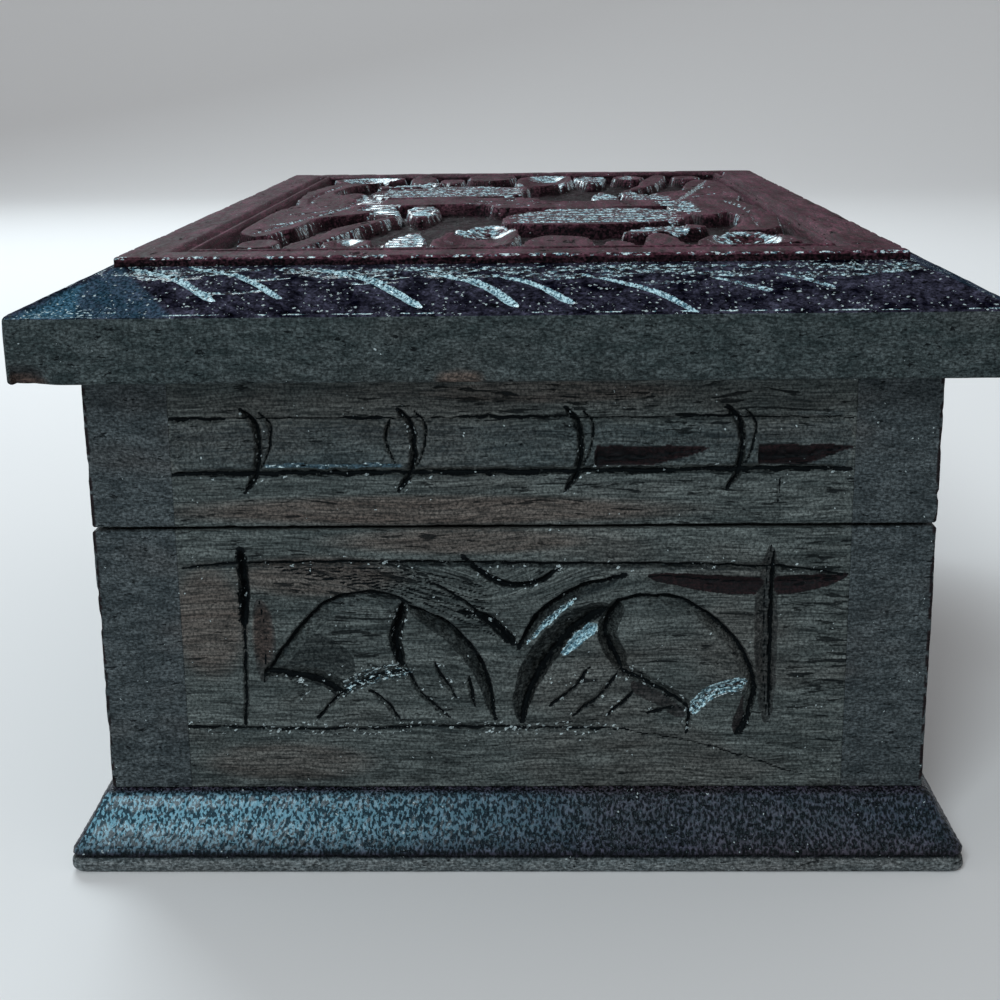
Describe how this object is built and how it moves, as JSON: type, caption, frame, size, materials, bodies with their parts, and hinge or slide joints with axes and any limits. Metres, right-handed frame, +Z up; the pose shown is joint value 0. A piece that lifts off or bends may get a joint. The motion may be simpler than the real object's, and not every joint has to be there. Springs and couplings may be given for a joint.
{
  "type": "trinket box",
  "caption": "Small oblong carved hardwood trinket box with a moulded base, an overhanging raised lid and two brass butt hinges along one long side.",
  "frame": {"origin": "middle of the underside of the base board, on the surface that the box stands on", "axes": "+Z up; Y along the box, with the end that the picture shows at -Y; X across it, with the opening side at +X and the hinges at -X"},
  "size_m": [0.102, 0.152, 0.067],
  "materials": {
    "carcass_wood": "ebonised hardwood, satin, with open grain and brown where the stain is thin",
    "lid_wood": "ebonised hardwood, polished, with a warm brown cast",
    "base_wood": "ebonised hardwood, rippled by the knife and polished",
    "brass": "aged brass, satin"
  },
  "bodies": {
    "box": {"base_board": "base_wood", "tray_left_side": "carcass_wood", "tray_right_side": "carcass_wood", "tray_near_end": "carcass_wood", "tray_far_end": "carcass_wood", "near_hinge_tray_leaf": "brass", "near_hinge_pin": "brass", "near_hinge_tray_screw_1": "brass", "near_hinge_tray_screw_2": "brass", "far_hinge_tray_leaf": "brass", "far_hinge_pin": "brass", "far_hinge_tray_screw_1": "brass", "far_hinge_tray_screw_2": "brass"},
    "lid": {"rim_left_side": "carcass_wood", "rim_right_side": "carcass_wood", "rim_near_end": "carcass_wood", "rim_far_end": "carcass_wood", "lid_board": "lid_wood", "near_hinge_lid_leaf": "brass", "near_hinge_lid_screw_1": "brass", "near_hinge_lid_screw_2": "brass", "far_hinge_lid_leaf": "brass", "far_hinge_lid_screw_1": "brass", "far_hinge_lid_screw_2": "brass"}
  },
  "joints": [
    {"name": "lid_hinge", "type": "hinge", "parent": "box", "child": "lid", "pos_m": [-0.0466, 0, 0.0384], "axis": [0, -1, 0], "range_deg": [0, 170]}
  ]
}
